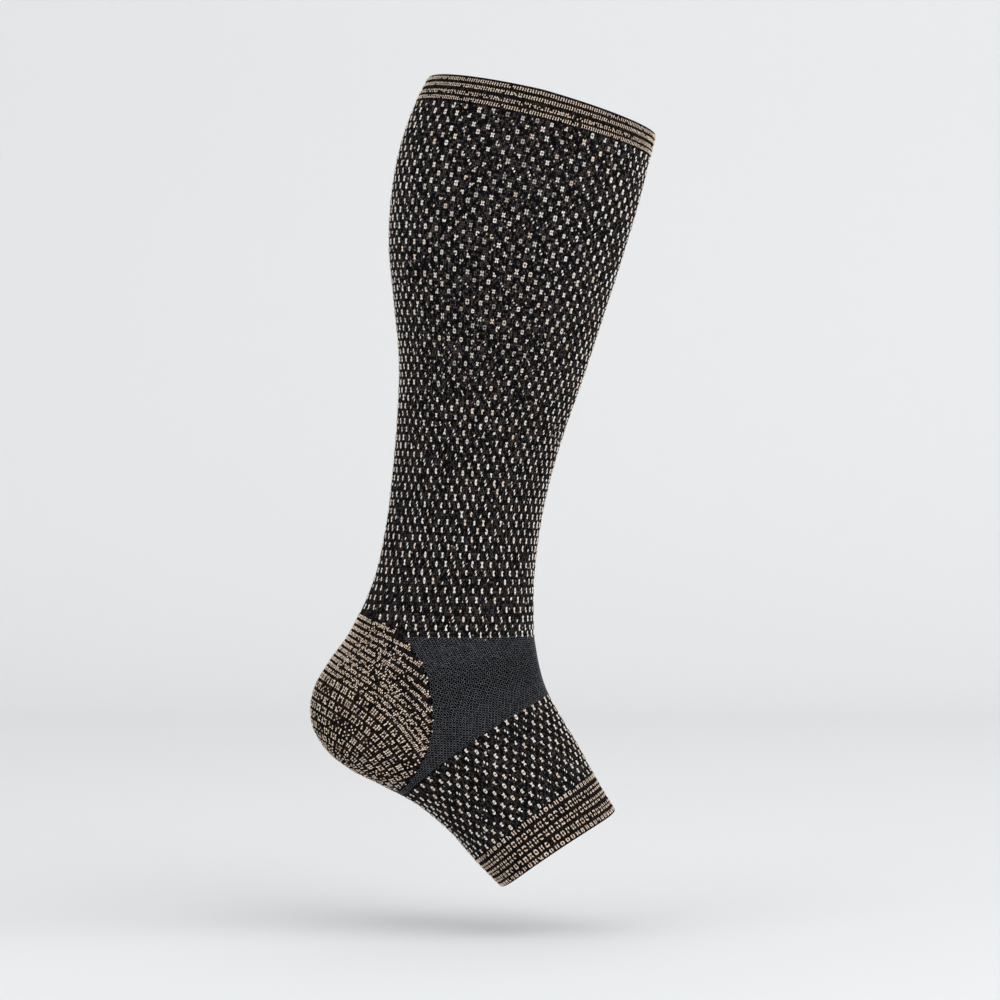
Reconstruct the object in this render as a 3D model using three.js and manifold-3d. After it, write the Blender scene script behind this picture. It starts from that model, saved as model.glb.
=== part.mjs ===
// An open-toe calf compression sleeve in its worn shape: a knitted tube that covers the calf, the ankle,
// the heel and the middle of the foot, with the heel raised and the toes pointing down and forward.
// Millimetres and degrees. +X points to the toes, +Z up, and the sleeve is the same on both sides of Y = 0.
// The origin is the centre of the knee opening, where the leg enters.

import * as THREE from 'three';
import { mergeVertices } from 'three/addons/utils/BufferGeometryUtils.js';
import Module from 'manifold-3d';

// Lengths along the leg and the foot
const legLength = 264; // from the knee rim to the ankle line, down the middle of the leg
const footLength = 118.8; // from the ankle line to the toe rim, along the middle of the foot
const kneeCuffHeight = 13;
const ankleSpan = 54.5; // from the ankle line to the foot panel, along the middle of the foot
const toeCuffHeight = 19.8;

// How the worn leg and foot stand
const legLean = 10.9; // the knee is this far forward of upright
const footPitch = 61.4; // the foot points this far below level
const kneeRimTilt = 13.9; // the knee rim is lower at the shin than behind
const toeRimTilt = 33.3; // the toe rim is higher at the instep than at the sole

// Front to back and side to side, at the fullest or slimmest place of each stretch
const calfDepth = 120;
const calfWidth = 112;
const ankleDepth = 75;
const ankleWidth = 62;
const heelDepth = 114.5;
const heelWidth = 72;
const footDepth = 66.7;
const footWidth = 80;

// The knitted wall, and the thicker yarn of the cuffs and the heel, which stands a little proud
const knitWall = 1.2;
const cuffWall = 1.6;
const cuffProud = 0.25;
const heelWall = 1.6;
const heelProud = 0.2;
const rimRound = 0.5; // how far the rolled edge of a rim stands past the end of the wall
const seamGap = 0.3; // between two zones of the knit

// The heel pouch, seen from the side, is an ellipse that runs off the back of the heel
const pouchHeight = 0.83 * heelDepth;
const pouchWidth = 0.707 * heelDepth;
const pouchDepth = 0.524 * heelDepth; // from the back of the heel to the front edge of the pouch

// How finely the shells are drawn
const sides = 40;
const ringStep = 11;
const footRingStep = 5.5;
const kneeCuffRings = 3;
const toeCuffRings = 4;
const ankleRings = 12;
const pouchRings = 24;
const ellipseSteps = 30;
const backSteps = 200;

// Rows of cross-sections from the knee rim down. Along is a share of the leg's or the foot's length, tilt a
// share of the rim's tilt, and shift, depth and width are shares of that stretch's depth, depth and width.
// Shift moves a section forward. Lobe fattens the front half (plus) or the back half (minus), flat squares
// the back half off, and sweep pulls the sides of a section back up the foot, as a share of its length.
const calf = { depth: calfDepth, width: calfWidth };
const calfRows = [
  { along: 0.0, tilt: 1.0, shift: -0.003, depth: 0.952, width: 0.946, lobe: -0.05 },
  { along: 0.06, tilt: 0.935, shift: -0.025, depth: 0.984, width: 0.985, lobe: -0.08 },
  { along: 0.12, tilt: 0.863, shift: -0.039, depth: 1.0, width: 1.0, lobe: -0.1 },
  { along: 0.2, tilt: 0.79, shift: -0.048, depth: 0.988, width: 0.992, lobe: -0.12 },
  { along: 0.3, tilt: 0.683, shift: -0.045, depth: 0.936, width: 0.95, lobe: -0.12 },
  { along: 0.4, tilt: 0.576, shift: -0.026, depth: 0.846, width: 0.866, lobe: -0.1 },
  { along: 0.5, tilt: 0.468, shift: -0.007, depth: 0.755, width: 0.765, lobe: -0.06 },
];
const ankle = { depth: ankleDepth, width: ankleWidth };
const ankleRows = [
  { along: 0.6, tilt: 0.36, shift: -0.007, depth: 1.1, width: 1.2, lobe: 0.0 },
  { along: 0.7, tilt: 0.252, shift: -0.004, depth: 1.03, width: 1.065, lobe: 0.05 },
  { along: 0.8, tilt: 0.158, shift: 0.006, depth: 1.003, width: 1.0, lobe: 0.1 },
  { along: 0.9, tilt: 0.072, shift: 0.014, depth: 1.046, width: 1.035, lobe: 0.12 },
  { along: 1.0, tilt: 0.0, shift: 0.0, depth: 1.208, width: 1.12, lobe: 0.12 },
];
const heel = { depth: heelDepth, width: heelWidth };
const heelRows = [
  { along: 0.077, tilt: 0.15, shift: -0.078, depth: 0.881, width: 0.98, lobe: 0.12, flat: 0.03 },
  { along: 0.148, tilt: 0.3, shift: -0.147, depth: 0.968, width: 1.0, lobe: 0.1, flat: 0.07, sweep: -0.005 },
  { along: 0.215, tilt: 0.45, shift: -0.184, depth: 1.0, width: 1.0, lobe: 0.07, flat: 0.1, sweep: -0.012 },
  { along: 0.279, tilt: 0.6, shift: -0.188, depth: 0.976, width: 0.99, lobe: 0.05, flat: 0.12, sweep: -0.02 },
  { along: 0.341, tilt: 0.75, shift: -0.166, depth: 0.908, width: 0.98, lobe: 0.03, flat: 0.12, sweep: -0.028 },
  { along: 0.403, tilt: 0.9, shift: -0.129, depth: 0.82, width: 0.975, lobe: 0.01, flat: 0.11, sweep: -0.034 },
];
const foot = { depth: footDepth, width: footWidth };
const footRows = [
  { along: 0.469, tilt: 1.06, shift: -0.163, depth: 1.286, width: 0.885, lobe: -0.01, flat: 0.11, sweep: -0.037 },
  { along: 0.6, tilt: 1.075, shift: -0.105, depth: 1.178, width: 0.91, lobe: -0.04, flat: 0.12, sweep: -0.034 },
  { along: 0.7, tilt: 1.085, shift: -0.07, depth: 1.127, width: 0.935, lobe: -0.06, flat: 0.13, sweep: -0.031 },
  { along: 0.8, tilt: 1.09, shift: -0.051, depth: 1.087, width: 0.96, lobe: -0.08, flat: 0.14, sweep: -0.028 },
  { along: 0.9, tilt: 1.065, shift: -0.028, depth: 1.039, width: 0.985, lobe: -0.09, flat: 0.15, sweep: -0.027 },
  { along: 1.0, tilt: 1.0, shift: 0.0, depth: 1.0, width: 1.0, lobe: -0.1, flat: 0.15, sweep: -0.026 },
];

// Stations run from 0 at the knee rim through 1 at the ankle line to 2 at the toe rim
const legStation = (mm) => mm / legLength;
const ankleLine = legStation(legLength);
const footStation = (mm) => ankleLine + mm / footLength;
const toeRim = footStation(footLength);
const kneeCuffEnd = legStation(kneeCuffHeight);
const footPanelStart = footStation(ankleSpan);
const toeCuffStart = footStation(footLength - toeCuffHeight);

const degrees = THREE.MathUtils.degToRad;
const kneeCentre = new THREE.Vector3(0, 0, 0);
const legWay = new THREE.Vector3(-Math.sin(degrees(legLean)), 0, -Math.cos(degrees(legLean)));
const footWay = new THREE.Vector3(Math.cos(degrees(footPitch)), 0, -Math.sin(degrees(footPitch)));
const ankleCentre = kneeCentre.clone().addScaledVector(legWay, legLength);

// A table row as a section in millimetres: its front and back points and what shapes it in between
function legSection(size, row) {
  const centre = kneeCentre.clone().addScaledVector(legWay, legLength * row.along);
  return section(size, row, row.along, centre, kneeRimTilt * row.tilt);
}

function footSection(size, row) {
  const centre = ankleCentre.clone().addScaledVector(footWay, footLength * row.along);
  return section(size, row, ankleLine + row.along, centre, -toeRimTilt * row.tilt);
}

function section(size, row, station, centre, tilt) {
  const forward = new THREE.Vector3(Math.cos(degrees(tilt)), 0, -Math.sin(degrees(tilt)));
  const front = centre.clone().addScaledVector(forward, size.depth * (row.shift + row.depth / 2));
  const back = centre.clone().addScaledVector(forward, size.depth * (row.shift - row.depth / 2));
  return {
    station,
    frontX: front.x,
    frontZ: front.z,
    backX: back.x,
    backZ: back.z,
    width: size.width * row.width,
    lobe: row.lobe,
    flat: row.flat ?? 0,
    sweep: footLength * (row.sweep ?? 0),
  };
}

const sections = [
  ...calfRows.map((row) => legSection(calf, row)),
  ...ankleRows.map((row) => legSection(ankle, row)),
  ...heelRows.map((row) => footSection(heel, row)),
  ...footRows.map((row) => footSection(foot, row)),
];

// The slope of one column at section i, weighted by how close its two neighbours are
function slope(column, i) {
  const here = sections[i];
  const before = sections[Math.max(i - 1, 0)];
  const after = sections[Math.min(i + 1, sections.length - 1)];
  const gapBefore = here.station - before.station;
  const gapAfter = after.station - here.station;
  const riseBefore = gapBefore > 0 ? (here[column] - before[column]) / gapBefore : 0;
  const riseAfter = gapAfter > 0 ? (after[column] - here[column]) / gapAfter : 0;
  if (gapBefore === 0) return riseAfter;
  if (gapAfter === 0) return riseBefore;
  return (riseBefore * gapAfter + riseAfter * gapBefore) / (gapBefore + gapAfter);
}

const columns = ['frontX', 'frontZ', 'backX', 'backZ', 'width', 'lobe', 'flat', 'sweep'];
const slopes = Object.fromEntries(columns.map((column) => [column, sections.map((_, i) => slope(column, i))]));

// The section at any station, on a smooth curve through the rows
function sectionAt(station) {
  let i = sections.findIndex((s) => s.station > station) - 1;
  if (i < 0) i = station < ankleLine ? 0 : sections.length - 2;
  const [a, b] = [sections[i], sections[i + 1]];
  const span = b.station - a.station;
  const t = (station - a.station) / span;
  const [t2, t3] = [t * t, t * t * t];
  const blend = (column) =>
    (2 * t3 - 3 * t2 + 1) * a[column] +
    (t3 - 2 * t2 + t) * span * slopes[column][i] +
    (3 * t2 - 2 * t3) * b[column] +
    (t3 - t2) * span * slopes[column][i + 1];
  return Object.fromEntries(columns.map((column) => [column, blend(column)]));
}

// A point of the knit's outer face. Angle 0 is the front of the leg and half a turn the back.
function facePoint(station, angle) {
  const s = sectionAt(station);
  const middle = new THREE.Vector3((s.frontX + s.backX) / 2, 0, (s.frontZ + s.backZ) / 2);
  const half = new THREE.Vector3((s.frontX - s.backX) / 2, 0, (s.frontZ - s.backZ) / 2);
  const down = new THREE.Vector3(half.z, 0, -half.x).normalize();
  const [c, n] = [Math.cos(angle), Math.sin(angle)];
  const power = c < 0 ? 1 - s.flat : 1;
  const reach = Math.sign(c) * Math.abs(c) ** power;
  const side = Math.sign(n) * Math.abs(n) ** power * (1 + s.lobe * c);
  return middle
    .addScaledVector(half, reach)
    .addScaledVector(down, s.sweep * n * n)
    .setY((s.width / 2) * side);
}

// The outward direction of the face there, from its neighbours
const stationNudge = 1e-3;
const angleNudge = 1e-2;

function faceNormal(station, angle) {
  const lengthways = facePoint(station + stationNudge, angle).sub(facePoint(station - stationNudge, angle));
  const roundways = facePoint(station, angle + angleNudge).sub(facePoint(station, angle - angleNudge));
  return lengthways.cross(roundways).normalize();
}

function ring(station, offset, slide = 0) {
  const points = [];
  for (let i = 0; i < sides; i++) {
    const angle = (2 * Math.PI * i) / sides;
    const normal = faceNormal(station, angle);
    const along = facePoint(station + stationNudge, angle)
      .sub(facePoint(station - stationNudge, angle))
      .normalize();
    points.push(facePoint(station, angle).addScaledVector(normal, offset).addScaledVector(along, slide));
  }
  return points;
}

// A stretch of the knit as a closed shell: out along its face, over the end, back inside and over the start
function shell({ from, to, rings, wall, proud = 0, roundStart = false, roundEnd = false }) {
  const stations = Array.from({ length: rings + 1 }, (_, i) => from + ((to - from) * i) / rings);
  const middle = proud - wall / 2;
  const loops = [
    ...stations.map((station) => ring(station, proud)),
    ...(roundEnd ? [ring(to, middle, rimRound)] : []),
    ...stations.toReversed().map((station) => ring(station, proud - wall)),
    ...(roundStart ? [ring(from, middle, -rimRound)] : []),
  ];
  const positions = loops.flat().flatMap((p) => [p.x, p.y, p.z]);
  const index = [];
  loops.forEach((_, row) => {
    const next = (row + 1) % loops.length;
    for (let i = 0; i < sides; i++) {
      const j = (i + 1) % sides;
      const [a, b, c, d] = [row * sides + i, row * sides + j, next * sides + j, next * sides + i];
      index.push(a, d, c, a, c, b);
    }
  });
  const geometry = new THREE.BufferGeometry();
  geometry.setAttribute('position', new THREE.Float32BufferAttribute(positions, 3));
  geometry.setIndex(index);
  return geometry;
}

// Zones meet across a seam gap, so each is drawn half a gap short at a seam
const legGap = legStation(seamGap / 2);
const footGap = footStation(seamGap / 2) - ankleLine;

const kneeCuff = shell({
  from: 0,
  to: kneeCuffEnd - legGap,
  rings: kneeCuffRings,
  wall: cuffWall,
  proud: cuffProud,
  roundStart: true,
});
const calfTube = shell({
  from: kneeCuffEnd + legGap,
  to: ankleLine - legGap,
  rings: Math.round((legLength - kneeCuffHeight) / ringStep),
  wall: knitWall,
});
const ankleTube = shell({
  from: ankleLine + footGap,
  to: footPanelStart - footGap,
  rings: ankleRings,
  wall: knitWall,
});
const footTube = shell({
  from: footPanelStart + footGap,
  to: toeCuffStart - footGap,
  rings: Math.round((footLength - ankleSpan - toeCuffHeight) / footRingStep),
  wall: knitWall,
});
const toeCuff = shell({
  from: toeCuffStart + footGap,
  to: toeRim,
  rings: toeCuffRings,
  wall: cuffWall,
  proud: cuffProud,
  roundEnd: true,
});

// The rearmost point of the heel, which the pouch is measured from
function heelBack() {
  let rearmost = facePoint(ankleLine, Math.PI);
  for (let i = 1; i <= backSteps; i++) {
    const point = facePoint(ankleLine + ((footPanelStart - ankleLine) * i) / backSteps, Math.PI);
    if (point.x < rearmost.x) rearmost = point;
  }
  return rearmost;
}

// The pouch's outline carried across the sleeve, grown or shrunk by a margin
function pouchCutter(margin) {
  const back = heelBack();
  const centreX = back.x + pouchDepth - pouchWidth / 2;
  const outline = new THREE.Shape();
  const [halfWidth, halfHeight] = [pouchWidth / 2 + margin, pouchHeight / 2 + margin];
  outline.absellipse(0, 0, halfWidth, halfHeight, 0, 2 * Math.PI, false, 0);
  const across = 2 * heelWidth;
  const cutter = new THREE.ExtrudeGeometry(outline, {
    depth: across,
    bevelEnabled: false,
    curveSegments: ellipseSteps,
  });
  return cutter.rotateX(Math.PI / 2).translate(centreX, across / 2, back.z);
}

const wasm = await Module();
wasm.setup();

function solidOf(geometry) {
  geometry.deleteAttribute('normal');
  geometry.deleteAttribute('uv');
  const merged = mergeVertices(geometry, 1e-4);
  return new wasm.Manifold(
    new wasm.Mesh({
      numProp: 3,
      vertProperties: merged.attributes.position.array,
      triVerts: new Uint32Array(merged.index.array),
    }),
  );
}

function geometryOf(solid) {
  const mesh = solid.getMesh();
  const geometry = new THREE.BufferGeometry();
  geometry.setAttribute('position', new THREE.BufferAttribute(mesh.vertProperties, 3));
  geometry.setIndex(new THREE.BufferAttribute(mesh.triVerts, 1));
  return geometry;
}

// The heel pouch is cut from one shell that runs past the ankle line both ways
const pouchHole = solidOf(pouchCutter(seamGap / 2));
const pouchTube = shell({
  from: ankleLine - legStation(pouchHeight / 2),
  to: footPanelStart - footGap,
  rings: pouchRings,
  wall: heelWall,
  proud: heelProud,
});
const calfPanel = geometryOf(solidOf(calfTube).subtract(pouchHole));
const anklePanel = geometryOf(solidOf(ankleTube).subtract(pouchHole));
const heelPouch = geometryOf(solidOf(pouchTube).intersect(solidOf(pouchCutter(-seamGap / 2))));

const yarns = {
  blackKnit: new THREE.MeshStandardMaterial({ color: 0x1c1a1a, roughness: 0.9, metalness: 0 }),
  charcoalKnit: new THREE.MeshStandardMaterial({ color: 0x292b2f, roughness: 0.92, metalness: 0 }),
  copperKnit: new THREE.MeshStandardMaterial({ color: 0x8a7360, roughness: 0.8, metalness: 0 }),
};

const sleeve = new THREE.Group();

function addZone(name, geometry, yarn) {
  geometry.computeVertexNormals();
  const zone = new THREE.Mesh(geometry, yarn);
  zone.name = name;
  sleeve.add(zone);
}

addZone('knee_cuff', kneeCuff, yarns.copperKnit);
addZone('calf_panel', calfPanel, yarns.blackKnit);
addZone('ankle_panel', anklePanel, yarns.charcoalKnit);
addZone('heel_pouch', heelPouch, yarns.copperKnit);
addZone('foot_panel', footTube, yarns.blackKnit);
addZone('toe_cuff', toeCuff, yarns.copperKnit);

export default sleeve;
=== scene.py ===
import math

import bpy
import numpy as np
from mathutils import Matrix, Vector, kdtree


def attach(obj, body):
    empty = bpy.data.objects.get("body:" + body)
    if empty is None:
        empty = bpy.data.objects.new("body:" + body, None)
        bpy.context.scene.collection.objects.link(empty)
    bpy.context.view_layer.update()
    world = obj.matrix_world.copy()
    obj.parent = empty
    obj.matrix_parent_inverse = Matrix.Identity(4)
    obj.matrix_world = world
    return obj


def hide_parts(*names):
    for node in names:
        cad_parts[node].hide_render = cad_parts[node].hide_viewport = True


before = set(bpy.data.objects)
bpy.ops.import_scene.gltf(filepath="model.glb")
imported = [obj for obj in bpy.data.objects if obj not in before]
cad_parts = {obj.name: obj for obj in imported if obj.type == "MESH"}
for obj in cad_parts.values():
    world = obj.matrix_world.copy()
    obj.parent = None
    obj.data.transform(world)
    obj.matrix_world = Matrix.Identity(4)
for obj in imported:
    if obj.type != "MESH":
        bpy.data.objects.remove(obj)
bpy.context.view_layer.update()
print("frame loaded")

# the worn shape, in millimetres and degrees, as in the CAD part

form = {
    "legLength": 264.0,
    "footLength": 118.8,
    "kneeCuffHeight": 13.0,
    "ankleSpan": 54.5,
    "toeCuffHeight": 19.8,
    "legLean": 10.9,
    "footPitch": 61.4,
    "kneeTilt": 13.9,
    "toeTilt": -33.3,
    "knitWall": 1.2,
    "cuffWall": 1.6,
    "rimRound": 0.5,
}
legLength, footLength = form["legLength"], form["footLength"]

# front to back and side to side of each stretch, then its rows:
# along, tilt, shift, depth, width, lobe, flat, sweep
calfSize = (120, 112)
calfRows = [
    (0.0, 1.0, -0.003, 0.952, 0.946, -0.05, 0, 0),
    (0.06, 0.935, -0.025, 0.984, 0.985, -0.08, 0, 0),
    (0.12, 0.863, -0.039, 1.0, 1.0, -0.1, 0, 0),
    (0.2, 0.79, -0.048, 0.988, 0.992, -0.12, 0, 0),
    (0.3, 0.683, -0.045, 0.936, 0.95, -0.12, 0, 0),
    (0.4, 0.576, -0.026, 0.846, 0.866, -0.1, 0, 0),
    (0.5, 0.468, -0.007, 0.755, 0.765, -0.06, 0, 0),
]
ankleSize = (75, 62)
ankleRows = [
    (0.6, 0.36, -0.007, 1.1, 1.2, 0.0, 0, 0),
    (0.7, 0.252, -0.004, 1.03, 1.065, 0.05, 0, 0),
    (0.8, 0.158, 0.006, 1.003, 1.0, 0.1, 0, 0),
    (0.9, 0.072, 0.014, 1.046, 1.035, 0.12, 0, 0),
    (1.0, 0.0, 0.0, 1.208, 1.12, 0.12, 0, 0),
]
heelSize = (114.5, 72)
heelRows = [
    (0.077, 0.15, -0.078, 0.881, 0.98, 0.12, 0.03, 0),
    (0.148, 0.3, -0.147, 0.968, 1.0, 0.1, 0.07, -0.005),
    (0.215, 0.45, -0.184, 1.0, 1.0, 0.07, 0.1, -0.012),
    (0.279, 0.6, -0.188, 0.976, 0.99, 0.05, 0.12, -0.02),
    (0.341, 0.75, -0.166, 0.908, 0.98, 0.03, 0.12, -0.028),
    (0.403, 0.9, -0.129, 0.82, 0.975, 0.01, 0.11, -0.034),
]
footSize = (66.7, 80)
footRows = [
    (0.469, 1.06, -0.163, 1.286, 0.885, -0.01, 0.11, -0.037),
    (0.6, 1.075, -0.105, 1.178, 0.91, -0.04, 0.12, -0.034),
    (0.7, 1.085, -0.07, 1.127, 0.935, -0.06, 0.13, -0.031),
    (0.8, 1.09, -0.051, 1.087, 0.96, -0.08, 0.14, -0.028),
    (0.9, 1.065, -0.028, 1.039, 0.985, -0.09, 0.15, -0.027),
    (1.0, 1.0, 0.0, 1.0, 1.0, -0.1, 0.15, -0.026),
]

lean, pitch = math.radians(form["legLean"]), math.radians(form["footPitch"])
legWay = np.array([-math.sin(lean), -math.cos(lean)])  # x and z only
footWay = np.array([math.cos(pitch), -math.sin(pitch)])
ankleCentre = legWay * legLength


def sectionOf(size, row, onFoot=False):
    along, tilt, shift, depth, width, lobe, flat, sweep = row
    if onFoot:
        centre = ankleCentre + footWay * footLength * along
        turn, station = form["toeTilt"] * tilt, 1 + along
    else:
        centre = legWay * legLength * along
        turn, station = form["kneeTilt"] * tilt, along
    turn = math.radians(turn)
    forward = np.array([math.cos(turn), -math.sin(turn)])
    front = centre + forward * size[0] * (shift + depth / 2)
    back = centre + forward * size[0] * (shift - depth / 2)
    return [station, *front, *back, size[1] * width, lobe, flat, sweep * footLength]


sections = np.array(
    [sectionOf(calfSize, row) for row in calfRows]
    + [sectionOf(ankleSize, row) for row in ankleRows]
    + [sectionOf(heelSize, row, True) for row in heelRows]
    + [sectionOf(footSize, row, True) for row in footRows]
)
stations, columns = sections[:, 0], sections[:, 1:]
gaps = np.diff(stations)[:, None]
rises = np.diff(columns, axis=0) / gaps
meanRises = (rises[:-1] * gaps[1:] + rises[1:] * gaps[:-1]) / (gaps[1:] + gaps[:-1])
slopes = np.vstack([rises[:1], meanRises, rises[-1:]])


# the eight numbers of the section at a station, on a smooth curve through the rows
def sectionAt(station):
    i = np.clip(np.searchsorted(stations, station, side="right") - 1, 0, len(stations) - 2)
    span = (stations[i + 1] - stations[i])[..., None]
    t = (station[..., None] - stations[i][..., None]) / span
    return (
        (2 * t**3 - 3 * t**2 + 1) * columns[i]
        + (t**3 - 2 * t**2 + t) * span * slopes[i]
        + (3 * t**2 - 2 * t**3) * columns[i + 1]
        + (t**3 - t**2) * span * slopes[i + 1]
    )


def pointAt(station, angle):
    station, angle = np.broadcast_arrays(np.asarray(station, float), np.asarray(angle, float))
    frontX, frontZ, backX, backZ, width, lobe, flat, sweep = np.moveaxis(sectionAt(station), -1, 0)
    halfX, halfZ = (frontX - backX) / 2, (frontZ - backZ) / 2
    size = np.hypot(halfX, halfZ)
    c, n = np.cos(angle), np.sin(angle)
    power = np.where(c < 0, 1 - flat, 1.0)
    reach = np.sign(c) * np.abs(c) ** power
    side = np.sign(n) * np.abs(n) ** power * (1 + lobe * c)
    x = (frontX + backX) / 2 + halfX * reach + halfZ / size * sweep * n * n
    z = (frontZ + backZ) / 2 + halfZ * reach - halfX / size * sweep * n * n
    return np.stack([x, width / 2 * side, z], -1)


# share runs evenly round the knit: 0 at the front, 0.5 at the back
stationSteps, shareSteps = 200, 720  # steps of the tables for each unit
tableStations = np.linspace(0, 2, 2 * stationSteps + 1)
tableAngles = np.linspace(0, 2 * math.pi, shareSteps + 1)
rings = pointAt(tableStations[:, None], tableAngles[None, :])
steps = np.linalg.norm(np.diff(rings, axis=1), axis=2)
arcs = np.concatenate([np.zeros((len(rings), 1)), np.cumsum(steps, axis=1)], axis=1)
girths = arcs[:, -1]
evenShares = np.linspace(0, 1, shareSteps + 1)
angleTable = np.array([np.interp(evenShares, arc / arc[-1], tableAngles) for arc in arcs])


def girthAt(station):
    return np.interp(station, tableStations, girths)


def surfaceAt(station, share):
    station, share = np.broadcast_arrays(np.asarray(station, float), np.asarray(share, float))
    turns = np.floor(share)
    row = np.clip(station * stationSteps, 0, 2 * stationSteps - 0.001)
    col = np.clip((share - turns) * shareSteps, 0, shareSteps - 0.001)
    i, j = row.astype(int), col.astype(int)
    a, b = row - i, col - j
    angle = (
        (1 - a) * ((1 - b) * angleTable[i, j] + b * angleTable[i, j + 1])
        + a * ((1 - b) * angleTable[i + 1, j] + b * angleTable[i + 1, j + 1])
    )
    return pointAt(station, angle + turns * 2 * math.pi)


def unit(v):
    return v / np.linalg.norm(v, axis=-1, keepdims=True)


# point, row direction, wale direction (towards the toes) and outward normal
def knitFrame(station, share):
    station, share = np.asarray(station, float), np.asarray(share, float)
    step = 0.002
    along = surfaceAt(station + step, share) - surfaceAt(station - step, share)
    around = unit(surfaceAt(station, share + step) - surfaceAt(station, share - step))
    out = unit(np.cross(along, around))
    return surfaceAt(station, share), around, np.cross(around, out), out


kneeCuffEnd = form["kneeCuffHeight"] / legLength
footPanelStart = 1 + form["ankleSpan"] / footLength
toeCuffStart = 2 - form["toeCuffHeight"] / footLength

# the heel pouch's outline in side view is an ellipse that runs off the back of the heel
backLine = surfaceAt(np.linspace(1, footPanelStart, 400), 0.5)
heelBack = backLine[backLine[:, 0].argmin()]
pouch = {"height": 0.83 * heelSize[0], "width": 0.707 * heelSize[0], "depth": 0.524 * heelSize[0]}
pouchX = heelBack[0] + pouch["depth"] - pouch["width"] / 2


def pouchInside(points):
    at = surfaceAt(points[:, 0], points[:, 1])
    across = (at[:, 0] - pouchX) / (pouch["width"] / 2)
    upright = (at[:, 2] - heelBack[2]) / (pouch["height"] / 2)
    return 1 - across**2 - upright**2


wearKnit = {"wales": 192, "coursePitch": 1.15, "seed": 7}
rng = np.random.default_rng(wearKnit["seed"])


def coursesAt(points):
    s = points[:, 0]
    return np.where(s < 1, (s - 1) * legLength, (s - 1) * footLength) / wearKnit["coursePitch"]


def tubeShares(count):
    return np.arange(count) / count


# a grid of points, as stations and shares, and its triangles
def sheetGrid(along, shares, wrap=True):
    count = len(shares)
    grid = np.stack(np.meshgrid(along, shares, indexing="ij"), -1).reshape(-1, 2)
    i, j = np.meshgrid(np.arange(len(along) - 1), np.arange(count if wrap else count - 1), indexing="ij")
    a, b = i * count + j, i * count + (j + 1) % count
    c, d = b + count, a + count
    faces = np.concatenate([np.stack(corners, -1).reshape(-1, 3) for corners in ((a, d, c), (a, c, b))])
    return grid, faces


# keeps the part of a sheet where inside() is above zero, with a clean edge
def trimSheet(points, faces, inside):
    keep = inside(points) > 0
    count = keep[faces].sum(1)
    mixed = faces[(count == 1) | (count == 2)]
    lone = keep[mixed].sum(1) == 1
    odd = np.where(lone, keep[mixed].argmax(1), (~keep[mixed]).argmax(1))
    mixed = mixed[np.arange(len(mixed))[:, None], (odd[:, None] + np.arange(3)) % 3]
    edges = np.sort(np.concatenate([mixed[:, [0, 1]], mixed[:, [0, 2]]]), 1)
    pairs, where = np.unique(edges, axis=0, return_inverse=True)
    where = where.ravel()
    low, high = points[pairs[:, 0]], points[pairs[:, 1]]
    near, far = np.zeros(len(pairs)), np.ones(len(pairs))
    for _ in range(20):  # each pass halves the stretch that holds the outline
        middle = (near + far) / 2
        same = (inside(low + (high - low) * middle[:, None]) > 0) == keep[pairs[:, 0]]
        near, far = np.where(same, middle, near), np.where(same, far, middle)
    cut = low + (high - low) * ((near + far) / 2)[:, None]
    first, second = np.split(len(points) + where, 2)
    rest, f, s = mixed[~lone], first[~lone], second[~lone]
    faces = np.concatenate(
        [
            faces[count == 3],
            np.stack([mixed[lone][:, 0], first[lone], second[lone]], 1),
            np.stack([f, rest[:, 1], rest[:, 2]], 1),
            np.stack([f, rest[:, 2], s], 1),
        ]
    )
    points = np.concatenate([points, cut])
    used, faces = np.unique(faces, return_inverse=True)
    return points[used], faces.reshape(-1, 3)


# one object from points in millimetres, triangles and a texture coordinate for each corner
def meshFrom(name, verts, faces, uvs, shades=None, tints=None, faceSlots=None):
    mesh = bpy.data.meshes.new(name)
    mesh.vertices.add(len(verts))
    mesh.vertices.foreach_set("co", np.asarray(verts, np.float32).ravel() * 0.001)
    mesh.loops.add(faces.size)
    mesh.loops.foreach_set("vertex_index", faces.ravel().astype(np.int32))
    mesh.polygons.add(len(faces))
    mesh.polygons.foreach_set("loop_start", np.arange(0, faces.size, 3, dtype=np.int32))
    if faceSlots is not None:
        mesh.polygons.foreach_set("material_index", faceSlots.astype(np.int32))
    mesh.update(calc_edges=True)
    mesh.polygons.foreach_set("use_smooth", np.ones(len(faces), bool))
    mesh.uv_layers.new(name="knit").data.foreach_set("uv", uvs.astype(np.float32).ravel())
    for label, values in (("shade", shades), ("tint", tints)):
        if values is not None:
            attribute = mesh.attributes.new(label, "FLOAT", "POINT")
            attribute.data.foreach_set("value", values.astype(np.float32))
    mesh.validate()
    piece = bpy.data.objects.new(name, mesh)
    bpy.context.collection.objects.link(piece)
    return piece


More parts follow.
